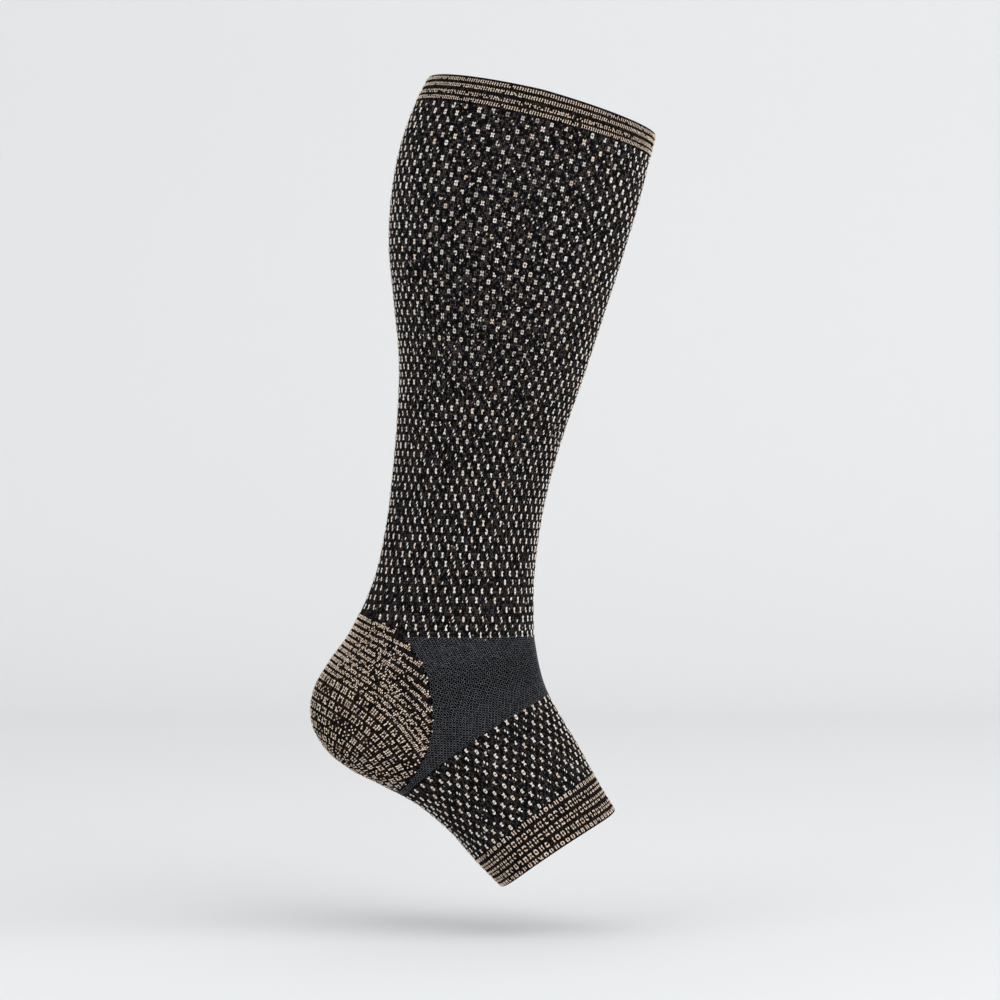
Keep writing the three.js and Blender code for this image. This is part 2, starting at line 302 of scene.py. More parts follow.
# a knitted wall: the sheet's outer face, its inner face and the edges between them
def knitWall(name, points, faces, outer, inner):
    at, _, _, out = knitFrame(points[:, 0], points[:, 1])
    count = len(points)
    verts = np.concatenate([at + out * outer[:, None], at + out * inner[:, None]])
    edges = np.concatenate([faces[:, [0, 1]], faces[:, [1, 2]], faces[:, [2, 0]]])
    key, back = edges[:, 0] * count + edges[:, 1], edges[:, 1] * count + edges[:, 0]
    rim = edges[~np.isin(key, back)]
    a, b = rim[:, 0], rim[:, 1]
    walls = np.concatenate([np.stack([b, a, a + count], 1), np.stack([b, a + count, b + count], 1)])
    allFaces = np.concatenate([faces, faces[:, ::-1] + count, walls])
    wales = np.concatenate([points[:, 1]] * 2)[allFaces]
    wrapped = np.ptp(wales, axis=1) > 0.5
    wales[wrapped] += wales[wrapped] < 0.5
    courses = np.concatenate([coursesAt(points)] * 2)[allFaces]
    uvs = np.stack([wales * wearKnit["wales"], courses], -1).reshape(-1, 2)
    inward = np.concatenate([np.zeros(len(faces)), np.ones(len(faces)), np.zeros(len(walls))])
    return meshFrom(name, verts, allFaces, uvs, faceSlots=inward)


# a stretch of the plain tube, with the place of the heel pouch cut out of it where it lies beside it
def panelWall(name, start, end, look, besidePouch=True):
    along = np.linspace(start, end, look["sheetRows"] + 1)
    points, faces = sheetGrid(along, tubeShares(look["sheetWales"]))
    if besidePouch:
        points, faces = trimSheet(points, faces, lambda p: -pouchInside(p))
    level = np.zeros(len(points))
    return knitWall(name, points, faces, level, level - form["knitWall"])


# many small spindle-shaped bits of yarn as one mesh
def yarnMesh(name, centres, along, out, length, width, height, shades, tints, plump=True):
    side = np.cross(along, out)
    rings = [(-0.5, 1.0), (0.5, 1.0)] if plump else [(0.0, 1.0)]
    length, width, height = (np.broadcast_to(v, len(centres))[:, None] for v in (length, width, height))
    parts, alongUv, roundUv = [centres - along * length], [0.0], [0.0]
    for where, swell in rings:
        for k in range(4):
            turn = k * math.pi / 2
            spoke = side * width * math.cos(turn) + out * height * math.sin(turn)
            parts.append(centres + along * length * where + spoke * swell)
            alongUv.append((where + 1) / 2)
            roundUv.append(k / 4)
    parts.append(centres + along * length)
    alongUv.append(1.0)
    roundUv.append(0.0)
    per, lastRing = len(parts), 1 + 4 * (len(rings) - 1)
    verts = np.stack(parts, 1).reshape(-1, 3)
    pattern = []
    for k in range(4):
        pattern.append((0, 1 + (k + 1) % 4, 1 + k))
        for r in range(len(rings) - 1):
            a, b = 1 + 4 * r + k, 1 + 4 * r + (k + 1) % 4
            pattern += [(a, b, b + 4), (a, b + 4, a + 4)]
        pattern.append((lastRing + k, lastRing + (k + 1) % 4, per - 1))
    faces = (np.array(pattern)[None] + np.arange(len(centres))[:, None, None] * per).reshape(-1, 3)
    coords = np.stack([np.array(alongUv), np.array(roundUv)], 1)
    uvs = np.tile(coords[np.array(pattern)].reshape(-1, 2), (len(centres), 1))
    return meshFrom(name, verts, faces, uvs, np.repeat(shades, per), np.repeat(tints, per))


# one leg of a stitch beside each knit point: across and down are millimetres from it, slant in degrees
def legsOn(at, row, wale, out, across, down, slant, lift):
    slant = np.radians(slant)[:, None]
    centres = at + row * np.asarray(across)[:, None] + wale * np.asarray(down)[:, None] + out * lift
    return centres, wale * np.cos(slant) + row * np.sin(slant)


# an empty shader node group with its sockets
def newGroup(name, inputs, outputs):
    group = bpy.data.node_groups.new(name, "ShaderNodeTree")
    for label, kind, default in inputs:
        socket = group.interface.new_socket(label, in_out="INPUT", socket_type="NodeSocket" + kind)
        if default is not None:
            socket.default_value = default
    for label, kind in outputs:
        group.interface.new_socket(label, in_out="OUTPUT", socket_type="NodeSocket" + kind)
    start, end = group.nodes.new("NodeGroupInput"), group.nodes.new("NodeGroupOutput")
    start.location, end.location = (-900, 0), (700, 0)
    return group, start, end


# one step of arithmetic: a number is set on the node and a socket is linked to it
def calc(tree, kind, a, b=None, clamp=False):
    node = tree.nodes.new("ShaderNodeMath")
    node.operation = kind
    node.use_clamp = clamp
    for i, value in enumerate((a, b)):
        if value is None:
            continue
        if isinstance(value, (int, float)):
            node.inputs[i].default_value = value
        else:
            tree.links.new(value, node.inputs[i])
    return node.outputs[0]


def blendColour(tree, factor, a, b, kind="MIX"):
    node = tree.nodes.new("ShaderNodeMix")
    node.data_type, node.blend_type = "RGBA", kind
    for socket, value in ((node.inputs[0], factor), (node.inputs[6], a), (node.inputs[7], b)):
        if isinstance(value, (int, float)):
            socket.default_value = value
        elif isinstance(value, tuple):
            socket.default_value = (*value, 1.0)
        else:
            tree.links.new(value, socket)
    return node.outputs[2]


def remap(tree, value, low, high, toLow=0.0, toHigh=1.0):
    node = tree.nodes.new("ShaderNodeMapRange")
    tree.links.new(value, node.inputs[0])
    for i, number in enumerate((low, high, toLow, toHigh)):
        node.inputs[i + 1].default_value = number
    return node.outputs[0]


def noiseOf(tree, vector, scale, detail):
    node = tree.nodes.new("ShaderNodeTexNoise")
    node.inputs["Scale"].default_value = scale
    node.inputs["Detail"].default_value = detail
    tree.links.new(vector, node.inputs["Vector"])
    return node


def bumpOf(tree, height, strength, distance):
    node = tree.nodes.new("ShaderNodeBump")
    node.inputs["Distance"].default_value = distance
    if isinstance(strength, (int, float)):
        node.inputs["Strength"].default_value = strength
    else:
        tree.links.new(strength, node.inputs["Strength"])
    tree.links.new(height, node.inputs["Height"])
    return node.outputs[0]


stitchDepth, twistDepth = 0.0004, 0.00012  # of the relief in the shaders, in metres


# plain knit: coordinates are wales across and courses down; each stitch is a V of two legs
def makeKnitStitch():
    group, start, end = newGroup(
        "knitStitch",
        [("Coordinates", "Vector", None), ("Slant", "Float", 0.55), ("Relief", "Float", 1.0)],
        [
            ("Height", "Float"),
            ("Painted Gap Shade", "Float"),
            ("Stitch Tone", "Float"),
            ("Stitch Hue", "Color"),
            ("Normal", "Vector"),
        ],
    )
    split = group.nodes.new("ShaderNodeSeparateXYZ")
    group.links.new(start.outputs["Coordinates"], split.inputs[0])
    wale, course = split.outputs[0], split.outputs[1]
    fromMiddle = calc(group, "ABSOLUTE", calc(group, "SUBTRACT", calc(group, "FRACT", wale), 0.5))
    legAcross = calc(group, "SINE", calc(group, "MULTIPLY", fromMiddle, 2 * math.pi))
    slid = calc(group, "SUBTRACT", course, calc(group, "MULTIPLY", fromMiddle, start.outputs["Slant"]))
    legDown = calc(group, "SINE", calc(group, "MULTIPLY", calc(group, "FRACT", slid), math.pi))
    rounded = calc(group, "POWER", legDown, 0.6)
    height = calc(group, "MULTIPLY", calc(group, "ABSOLUTE", legAcross), rounded)
    cell = group.nodes.new("ShaderNodeCombineXYZ")
    group.links.new(calc(group, "FLOOR", calc(group, "MULTIPLY", wale, 2.0)), cell.inputs[0])
    group.links.new(calc(group, "FLOOR", slid), cell.inputs[1])
    tone = group.nodes.new("ShaderNodeTexWhiteNoise")
    tone.noise_dimensions = "2D"
    group.links.new(cell.outputs[0], tone.inputs["Vector"])
    group.links.new(height, end.inputs["Height"])
    # the low ground between the legs, the mask of the painted shade
    group.links.new(calc(group, "SUBTRACT", 1.0, height, clamp=True), end.inputs["Painted Gap Shade"])
    group.links.new(tone.outputs["Value"], end.inputs["Stitch Tone"])
    group.links.new(tone.outputs["Color"], end.inputs["Stitch Hue"])
    group.links.new(bumpOf(group, height, start.outputs["Relief"], stitchDepth), end.inputs["Normal"])
    return group


# twisted yarn: coordinates run 0 to 1 along a bit of yarn and 0 to 1 round it
def makeYarnTwist():
    group, start, end = newGroup(
        "yarnTwist",
        [("Coordinates", "Vector", None), ("Plies", "Float", 3.0), ("Relief", "Float", 0.5)],
        [("Strand", "Float"), ("Normal", "Vector")],
    )
    split = group.nodes.new("ShaderNodeSeparateXYZ")
    group.links.new(start.outputs["Coordinates"], split.inputs[0])
    lengthwise = calc(group, "MULTIPLY", split.outputs[0], start.outputs["Plies"])
    turns = calc(group, "ADD", lengthwise, calc(group, "MULTIPLY", split.outputs[1], 2.0))
    strand = calc(group, "ABSOLUTE", calc(group, "SINE", calc(group, "MULTIPLY", turns, math.pi)))
    group.links.new(strand, end.inputs["Strand"])
    group.links.new(bumpOf(group, strand, start.outputs["Relief"], twistDepth), end.inputs["Normal"])
    return group


# slow drift of yarn colour over the fabric and fine fluff, from object coordinates
def makeYarnDrift():
    group, start, end = newGroup(
        "yarnDrift",
        [("Coordinates", "Vector", None), ("Patch Size", "Float", 90.0)],
        [("Patch", "Float"), ("Fluff", "Float"), ("Hue", "Color")],
    )
    patch = noiseOf(group, start.outputs["Coordinates"], 90.0, 3.0)
    group.links.new(start.outputs["Patch Size"], patch.inputs["Scale"])
    fluff = noiseOf(group, start.outputs["Coordinates"], 2600.0, 2.0)
    group.links.new(remap(group, patch.outputs["Fac"], 0.35, 0.65), end.inputs["Patch"])
    group.links.new(remap(group, fluff.outputs["Fac"], 0.35, 0.7), end.inputs["Fluff"])
    group.links.new(patch.outputs["Color"], end.inputs["Hue"])
    return group


knitStitch, yarnTwist, yarnDrift = makeKnitStitch(), makeYarnTwist(), makeYarnDrift()


# puts a node group into a material, with its inputs set or linked
def useGroup(tree, group, **values):
    node = tree.nodes.new("ShaderNodeGroup")
    node.node_tree = group
    for label, value in values.items():
        socket = node.inputs[label]
        if isinstance(value, (int, float)):
            socket.default_value = value
        else:
            tree.links.new(value, socket)
    return node.outputs


def newMaterial(name, look):
    material = bpy.data.materials.new(name)
    material.use_nodes = True
    tree = material.node_tree
    shader = tree.nodes["Principled BSDF"]
    shader.inputs["Roughness"].default_value = look["roughness"]
    shader.inputs["Sheen Weight"].default_value = look["sheen"]
    shader.inputs["Specular IOR Level"].default_value = look["specular"]
    return material, tree, shader


# the ground knit of one zone: look holds its colours, how deep the stitches read and the painted shade
# between the stitch legs
def groundMaterial(name, look):
    material, tree, shader = newMaterial(name, look)
    coords = tree.nodes.new("ShaderNodeTexCoord")
    knit = useGroup(tree, knitStitch, Coordinates=coords.outputs["UV"], Relief=look["relief"])
    drift = useGroup(tree, yarnDrift, Coordinates=coords.outputs["Object"])
    colour = blendColour(tree, drift["Patch"], look["yarn"], look["secondYarn"])
    lit = remap(tree, knit["Stitch Tone"], look["fleckFrom"], 1.0, 0.0, look["fleck"])
    fleck = blendColour(tree, look["fleckHue"], look["fleckColour"], knit["Stitch Hue"], "MULTIPLY")
    colour = blendColour(tree, lit, colour, fleck)
    # painted shade: the low ground between the stitch legs is darkened towards gapShadeColour
    gapShade = calc(tree, "MULTIPLY", knit["Painted Gap Shade"], look["gapShadeDepth"])
    colour = blendColour(tree, gapShade, colour, look["gapShadeColour"])
    tree.links.new(colour, shader.inputs["Base Color"])
    tree.links.new(knit["Normal"], shader.inputs["Normal"])
    return material


# yarn laid on the ground: shade darkens single stitches, tint moves them to the second colour, and painted
# shade darkens the grooves between the plies
def stitchMaterial(name, look):
    material, tree, shader = newMaterial(name, look)
    coords = tree.nodes.new("ShaderNodeTexCoord")
    shade, tint = tree.nodes.new("ShaderNodeAttribute"), tree.nodes.new("ShaderNodeAttribute")
    shade.attribute_name, tint.attribute_name = "shade", "tint"
    twist = useGroup(tree, yarnTwist, Coordinates=coords.outputs["UV"], Relief=0.6)
    drift = useGroup(tree, yarnDrift, Coordinates=coords.outputs["Object"])
    colour = blendColour(tree, tint.outputs["Fac"], look["yarn"], look["secondYarn"])
    colour = blendColour(tree, calc(tree, "MULTIPLY", drift["Fluff"], 0.25), colour, look["fluffColour"])
    # painted shade: the grooves between the plies of each bit of yarn are darkened towards darkest
    colour = blendColour(tree, remap(tree, twist["Strand"], 0.0, 0.6, 0.25, 0.0), colour, look["darkest"])
    colour = blendColour(tree, shade.outputs["Fac"], look["darkest"], colour)
    tree.links.new(colour, shader.inputs["Base Color"])
    tree.links.new(twist["Normal"], shader.inputs["Normal"])
    return material


# inside the sleeve the reverse of the knit shows: ridges across and no dots
insideLook = {
    "yarn": (0.012, 0.012, 0.013),
    # painted highlight: the colour of the ridge tops, the same yarn drawn lighter where it stands up
    "ridge": (0.085, 0.08, 0.076),
    "roughness": 0.95,
    "sheen": 0.15,
    "specular": 0.3,
    "relief": 0.8,
    "slant": 0.15,
}


def insideMaterial():
    material, tree, shader = newMaterial("insideKnit", insideLook)
    coords = tree.nodes.new("ShaderNodeTexCoord")
    turned = tree.nodes.new("ShaderNodeMapping")
    turned.inputs["Rotation"].default_value = (0, 0, math.pi / 2)
    tree.links.new(coords.outputs["UV"], turned.inputs["Vector"])
    ridges = {"Relief": insideLook["relief"], "Slant": insideLook["slant"]}
    knit = useGroup(tree, knitStitch, Coordinates=turned.outputs["Vector"], **ridges)
    # painted highlight on the ridge tops and painted shade in the furrows between them
    colour = blendColour(tree, knit["Height"], insideLook["yarn"], insideLook["ridge"])
    tree.links.new(colour, shader.inputs["Base Color"])
    tree.links.new(knit["Normal"], shader.inputs["Normal"])
    return material


insideKnit = insideMaterial()
print("node groups ready")


# gives a piece its materials, hangs it on the root and hides the CAD solid whose place it takes
def dress(piece, node, slotName, *materials):
    for material in materials:
        piece.data.materials.append(material)
    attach(piece, "root")
    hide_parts(node)
    print(piece.name, len(piece.data.polygons), "triangles")


# the dotted panels: pale dots of two by two legs over black knit

calf = {
    "yarn": (0.007, 0.0065, 0.0068),
    "secondYarn": (0.009, 0.0085, 0.011),
    "fleckColour": (0.13, 0.119, 0.114),
    "fleckHue": 0.35,  # how much single stitches drift in hue
    "fleckFrom": 0.42,
    "fleck": 0.85,
    # painted shade between the stitch legs: its colour and how far it is laid on
    "gapShadeColour": (0.0005, 0.0005, 0.0005),
    "gapShadeDepth": 0.97,
    "relief": 0.9,
    "roughness": 0.95,
    "sheen": 0.0,
    "specular": 0.02,
    "dotsRound": 50,
    "firstRow": 2.2,  # mm below the knee cuff
    "lastRow": 1.3,  # mm above the ankle line
    "rowPitches": (3.55, 3.5, 3.5, 3.9, 4.3),  # from the knee cuff down to the ankle
    "sheetRows": 84,
    "sheetWales": 192,
}
dots = {
    "yarn": (0.97, 0.92, 0.85),
    "secondYarn": (0.9, 0.68, 0.52),
    "fluffColour": (1.0, 0.96, 0.9),
    # darkest: the dark end of single stitches, and the colour of the painted shade in the ply grooves
    "darkest": (0.02, 0.018, 0.016),
    "roughness": 0.62,
    "sheen": 0.25,
    "specular": 0.35,
    "across": (0.25, 0.14),  # from the middle of a dot to a leg, in wales: wide dots, narrow dots
    "down": (0.6, 0.7),
    "halfLength": (0.65, 0.86),
    "halfWidth": (0.21, 0.27),  # in wales
    "halfHeight": 0.32,
    "lift": 0.05,  # how far the middle of a leg stands off the knit
    "slant": (26, 17),
    "bright": (0.77, 1.0),
    "uneven": (0.2, 0.08),  # how much dots differ in brightness
    "astray": (0.26, 0.1),  # how far dots lie off their grid
    "faint": 0.12,  # share of legs left out
    "copper": 0.3,  # share of dots in the second colour
    "stray": (0.5, 0.15),  # single light stitches between the dots, for each dot
}


def rowsBetween(first, last, pitches):
    count = round((last - first) / np.mean(pitches))
    steps = np.interp(np.linspace(0, 1, count), np.linspace(0, 1, len(pitches)), pitches)
    ends = np.concatenate([[0.0], np.cumsum(steps)])
    return first + ends * (last - first) / ends[-1]


# dots as two by two legs: rings, crosses, C and S shapes, staggered from row to row
def dotField(name, rowStations, dotsRound, narrowAt, keep=None, broad=1.0, calm=0.0):
    rows = np.repeat(np.arange(len(rowStations)), dotsRound)
    share = (np.tile(np.arange(dotsRound), len(rowStations)) + 0.5 * (rows % 2)) / dotsRound
    station = np.asarray(rowStations)[rows]
    if keep is not None:
        inside = keep(np.stack([station, share], 1))
        rows, share, station = rows[inside], share[inside], station[inside]
    count = len(rows)
    narrow = narrowAt(station, share)
    even = np.maximum(narrow, calm)

    def mixed(label, by=narrow):
        wide, slim = dots[label]
        return wide + (slim - wide) * by

    at, row, wale, out = knitFrame(station, share)
    astray = mixed("astray", even)[:, None]
    at = at + row * astray * rng.normal(0, 0.8, (count, 1))
    at = at + wale * astray * rng.normal(0, 1, (count, 1))
    odds = np.cumsum([0.4 - 0.15 * narrow, 0.3 - 0.15 * narrow, 0.2 + 0 * narrow], axis=0)
    kind = (rng.random(count) > odds).sum(0)
    waleWidth = girthAt(station) / wearKnit["wales"] * broad
    size = rng.normal(1, 0.1, count).clip(0.75, 1.2)
    dotShade = rng.normal(mixed("bright", even), mixed("uneven", even)).clip(0.3, 1)
    coppery = rng.random(count) < dots["copper"]
    dotTint = np.where(coppery, rng.uniform(0.4, 1, count), rng.uniform(0, 0.25, count))
    slants = ((1, -1, -1, 1), (-1, 1, 1, -1), (-1, -1, 1, 1), (-1, 1, 1, -1))  # ring, cross, C and S
    parts = []
    for leg, (x, y) in enumerate(((-1, -1), (1, -1), (-1, 1), (1, 1))):
        turn = np.choose(kind, [shape[leg] for shape in slants])
        slant = turn * rng.normal(mixed("slant"), 7, count)
        across, down = x * mixed("across") * waleWidth * size, y * mixed("down") * size
        centres, along = legsOn(at, row, wale, out, across, down, slant, dots["lift"])
        kept = rng.random(count) > dots["faint"] * (1 - 0.6 * calm)
        kept &= ~((kind == 3) & (leg in (1, 2)))
        shade = (dotShade * rng.uniform(0.8, 1.05, count)).clip(0, 1)
        length, width = mixed("halfLength") * size, mixed("halfWidth") * waleWidth
        parts.append([column[kept] for column in (centres, along, out, length, width, shade, dotTint)])
    some = rng.random(count) < mixed("stray", even)
    apart = rng.choice([-1, 1], count) * rng.uniform(1.0, 2.0, count) * waleWidth
    below, slant = rng.normal(0, 1.2, count), rng.normal(0, 30, count)
    centres, along = legsOn(at, row, wale, out, apart, below, slant, 0.4 * dots["lift"])
    strays = (centres, along, out, 0.5 * size, 0.17 * waleWidth, rng.uniform(0.2, 0.75, count), dotTint)
    parts.append([column[some] for column in strays])
    centres, along, out, length, width, shade, tint = (np.concatenate(column) for column in zip(*parts))
    return yarnMesh(name, centres, along, out, length, width, dots["halfHeight"], shade, tint)


dotYarn = stitchMaterial("creamDotYarn", dots)
calfKnit = groundMaterial("blackRibKnit", calf)

calfPanel = panelWall("calfPanel", kneeCuffEnd, 1, calf)
dress(calfPanel, "calf_panel", "black_dotted_knit", calfKnit, insideKnit)


# dots stand narrow low down, along the shin and down the back
def calfNarrow(station, share):
    low = np.clip((station - 0.45) / 0.3, 0, 1)
    away = np.minimum(np.minimum(share, 1 - share), np.abs(share - 0.5))
    return np.maximum(low, 0.8 * np.clip((0.2 - away) / 0.12, 0, 1))


calfRowsMm = rowsBetween(
    form["kneeCuffHeight"] + calf["firstRow"], legLength - calf["lastRow"], calf["rowPitches"]
)
calfDots = dotField(
    "calfDots",
    calfRowsMm / legLength,
    calf["dotsRound"],
    calfNarrow,
    keep=lambda points: pouchInside(points) < -0.04,
)
dress(calfDots, "calf_panel", "black_dotted_knit", dotYarn)

foot = {
    "dotsRound": 42,
    "firstRow": 1.6,
    "lastRow": 2.0,
    "rowPitches": (3.5, 3.5),
    "narrow": 0.35,
    "broad": 1.12,  # how much wider the dots are than on the calf, for the wales there
    "calm": 0.9,  # how much of the calf's unevenness is taken out
    "fleck": 0.7,
    "sheetRows": 20,
    "sheetWales": 160,
}
footPanel = panelWall("footPanel", footPanelStart, toeCuffStart, foot, besidePouch=False)
footKnit = groundMaterial("blackFootKnit", {**calf, "fleck": foot["fleck"]})
dress(footPanel, "foot_panel", "black_dotted_knit", footKnit, insideKnit)
footRowsMm = rowsBetween(
    form["ankleSpan"] + foot["firstRow"],
    footLength - form["toeCuffHeight"] - foot["lastRow"],
    foot["rowPitches"],
)
footDots = dotField(
    "footDots",
    1 + footRowsMm / footLength,
    foot["dotsRound"],
    lambda station, share: np.full(len(station), foot["narrow"]),
    broad=foot["broad"],
    calm=foot["calm"],
)
dress(footDots, "foot_panel", "black_dotted_knit", dotYarn)

# the ankle panel: fine mesh of small charcoal stitches over a darker ground

ankle = {
    "yarn": (0.0012, 0.0012, 0.0015),
    "secondYarn": (0.001, 0.001, 0.0013),
    "fleckColour": (0.006, 0.006, 0.008),
    "fleckHue": 0.2,
    "fleckFrom": 0.7,
    "fleck": 0.3,
    # painted shade between the stitch legs: its colour and how far it is laid on
    "gapShadeColour": (0.0006, 0.0006, 0.0008),
    "gapShadeDepth": 0.7,
    "relief": 0.4,
    "roughness": 0.95,
    "sheen": 0.0,
    "specular": 0.02,
    "walesRound": 136,
    "coursePitch": 1.0,
    "sheetRows": 44,
    "sheetWales": 192,
}
mesh = {
    "yarn": (0.185, 0.192, 0.21),
    "secondYarn": (0.125, 0.132, 0.15),
    "fluffColour": (0.23, 0.235, 0.245),
    "darkest": (0.006, 0.006, 0.008),
    "roughness": 0.8,
    "sheen": 0.03,
    "specular": 0.15,
    "halfWidth": 0.195,
    "halfHeight": 0.2,
    "uneven": 6,  # degrees a leg may lie off its course
    "overlap": 1.08,  # how far the ends of two legs run past each other
}
anklePanel = panelWall("anklePanel", 1, footPanelStart, ankle)
dress(anklePanel, "ankle_panel", "charcoal_mesh_knit", groundMaterial("charcoalGround", ankle), insideKnit)

# courses are evenly spaced along every wale, so there are fewer of them at the instep
fine = np.linspace(1, footPanelStart, 300)
wales = np.arange(ankle["walesRound"]) / ankle["walesRound"]
steps = np.linalg.norm(np.diff(surfaceAt(fine[:, None], wales[None, :]), axis=0), axis=2)
stitches = []
for share, arc in zip(wales, np.cumsum(steps, axis=0).T):
    count = 2 * round(arc[-1] / ankle["coursePitch"] / 2)
    where = (np.arange(count) + 0.5) / count * arc[-1]
    along = np.interp(where, arc, fine[1:])
    stitches.append(np.stack([along, np.full(count, share), (-1.0) ** np.arange(count)], 1))
stitches = np.concatenate(stitches)
stitches = stitches[pouchInside(stitches) < -0.01]
station, share, flip = stitches.T  # legs cross over from course to course and leave holes
at, row, wale, out = knitFrame(station, share)
spread = girthAt(station) / ankle["walesRound"] / 4
parts = []
for x in (-1, 1):
    slant = x * flip * np.degrees(np.arctan2(2 * spread, ankle["coursePitch"]))
    slant = slant + rng.normal(0, mesh["uneven"], len(at))
    centres, along = legsOn(at, row, wale, out, x * spread, rng.normal(0, 0.07, len(at)), slant, 0.04)
    length = np.hypot(2 * spread, ankle["coursePitch"]) / 2 * mesh["overlap"]
    parts.append((centres, along, out, length, rng.uniform(0.4, 1, len(at)), rng.random(len(at))))
centres, along, out, length, shade, tint = (np.concatenate(column) for column in zip(*parts))
ankleMesh = yarnMesh(
    "ankleMesh", centres, along, out, length, mesh["halfWidth"], mesh["halfHeight"], shade, tint, plump=False
)
dress(ankleMesh, "ankle_panel", "charcoal_mesh_knit", stitchMaterial("charcoalMeshYarn", mesh))

# the copper heel pouch: rows that fan round the heel, fine stripes above and small blocks below

heel = {
    "yarn": (0.007, 0.0068, 0.0068),
    "secondYarn": (0.012, 0.010, 0.009),
    "fleckColour": (0.115, 0.088, 0.07),
    "fleckHue": 0.4,
    "fleckFrom": 0.5,
    "fleck": 0.4,
    # painted shade between the stitch legs: its colour and how far it is laid on
    "gapShadeColour": (0.0006, 0.0006, 0.0006),
    "gapShadeDepth": 0.85,
    "relief": 0.7,
    "roughness": 0.94,
    "sheen": 0.0,
    "specular": 0.02,
    "proud": 0.15,
    "wall": 1.6,
    "ridge": 0.2,
    "stripePitch": 3.3,
    "blockPitch": 4.7,
    "changeAt": 15.0,  # level where the stripes turn to blocks
    "blockSpacing": 4.7,
    "stripeSpacing": 1.0,
    "edgeFill": 4.0,  # how far back from the front edge the stripes close up
    "rowSlope": 0.51,
    "rowBend": 0.000512,
    "stride": 0.4,  # mm between the points of a row
    "longestRow": 400,  # points
    "mostBlockRows": 24,
    "runOn": 60,  # points that lead the last striped row on past the pouch's edge
    "stripeOffsets": ((0, -0.45), (0.25, 0.45), (0.1, 1.65)),  # two lines of stitches and a loose third
    "stripeLeg": (0.55, 0.32),  # half length and half width
    "blockOffset": (1.2, 1.15),  # across and down between the nine legs of a block
    "blockLeg": (0.6, 0.38),
    "blockKinds": (0.55, 0.1, 0.2, 0.15),  # shares of rings, crosses, full blocks and ragged ones
    "sheetFrom": 0.82,
    "sheetRows": 110,
    "sheetShares": (0.2, 0.8),
    "sheetWales": 190,
}
# the copper yarn: partly its own colour, partly painted light, set brighter for the heel, which the lamps
# light less; the cuffs' stitches are held darker to take it back
copper = {
    "yarn": (0.95, 0.66, 0.46),
    "secondYarn": (1.0, 0.86, 0.71),
    "fluffColour": (1.0, 0.92, 0.82),
    "darkest": (0.022, 0.013, 0.009),
    "roughness": 0.6,
    "sheen": 0.15,
    "specular": 0.4,
}
rowOrigin = (-102.2, -264.6)  # x and z the rows fan from
bendGrid = np.linspace(-60, 140, 2001)
bendArea = np.cumsum(np.exp(-heel["rowBend"] * bendGrid**2 / 2)) * (bendGrid[1] - bendGrid[0])
bendArea -= np.interp(0, bendGrid, bendArea)


# which row of the heel knit a place belongs to, in millimetres down from the first
def heelLevel(station, share):
    at = surfaceAt(station, share)
    forward, down = at[..., 0] - rowOrigin[0], rowOrigin[1] - at[..., 2]
    fade = np.exp(-heel["rowBend"] * forward**2 / 2)
    return down * fade - heel["rowSlope"] * np.interp(forward, bendGrid, bendArea)


# how far the surface moves for each unit of station and of share
def surfaceSlopes(s, h, nudge):
    alongStep = (surfaceAt(s + nudge[0], h) - surfaceAt(s - nudge[0], h)) / (2 * nudge[0])
    aroundStep = (surfaceAt(s, h + nudge[1]) - surfaceAt(s, h - nudge[1])) / (2 * nudge[1])
    return alongStep, aroundStep


# follows every row from the middle of the back round one side until it leaves the pouch
def traceRows(levels, starts):
    here = np.stack([starts, np.full(len(starts), 0.5)], 1)
    last = np.zeros_like(here)
    alive = np.ones(len(levels), bool)
    path, reach = [here.copy()], np.zeros(len(levels), int)
    nudge = np.array([0.001, 0.0005])
    for _ in range(heel["longestRow"]):
        s, h = here[:, 0], here[:, 1]
        slope = np.stack(
            [
                (heelLevel(s + nudge[0], h) - heelLevel(s - nudge[0], h)) / (2 * nudge[0]),
                (heelLevel(s, h + nudge[1]) - heelLevel(s, h - nudge[1])) / (2 * nudge[1]),
            ],
            1,
        )
        alongStep, aroundStep = surfaceSlopes(s, h, nudge)
        scale = np.stack([(alongStep**2).sum(1), (aroundStep**2).sum(1)], 1)
        miss = levels - heelLevel(s, h)
        lift = slope / scale
        here = here + lift * np.clip(miss / (slope * lift).sum(1), -1, 1)[:, None]
        move = np.stack([-slope[:, 1], slope[:, 0]], 1)
        move *= np.where(move[:, 1] > 0, -1, 1)[:, None] if len(path) == 1 else 1
        if len(path) > 1:
            move *= np.where((move * last * scale).sum(1) < 0, -1, 1)[:, None]
        length = np.linalg.norm(alongStep * move[:, :1] + aroundStep * move[:, 1:], axis=1)
        last = move / length[:, None]
        here = here + last * heel["stride"]
        alive &= (pouchInside(here) > 0) & (here[:, 1] < 0.5) & (here[:, 0] < footPanelStart)
        reach += alive
        path.append(here.copy())
        if not alive.any():
            break
    return np.array(path), reach


# striped rows start on the middle line of the back
middle = np.linspace(0.8, footPanelStart, 1200)
middle = middle[pouchInside(np.stack([middle, np.full(len(middle), 0.5)], 1)) > 0]
middleLevels = np.maximum.accumulate(heelLevel(middle, np.full(len(middle), 0.5)))
topLevel = middleLevels[0] + 1.0
stripeLevels = np.arange(topLevel, heel["changeAt"], heel["stripePitch"])
stripeStarts = np.interp(stripeLevels, middleLevels + np.arange(len(middle)) * 1e-9, middle)
paths, reaches = traceRows(stripeLevels, stripeStarts)
routes = [paths[: reach + 1, k] for k, reach in enumerate(reaches)]


# millimetres along a row at each of its points
def reachOf(route):
    return np.concatenate([[0], np.cumsum(np.linalg.norm(np.diff(surfaceAt(*route.T), axis=0), axis=1))])


def alongRow(where, reach, route):
    return np.interp(where, reach, route[:, 0]), np.interp(where, reach, route[:, 1])


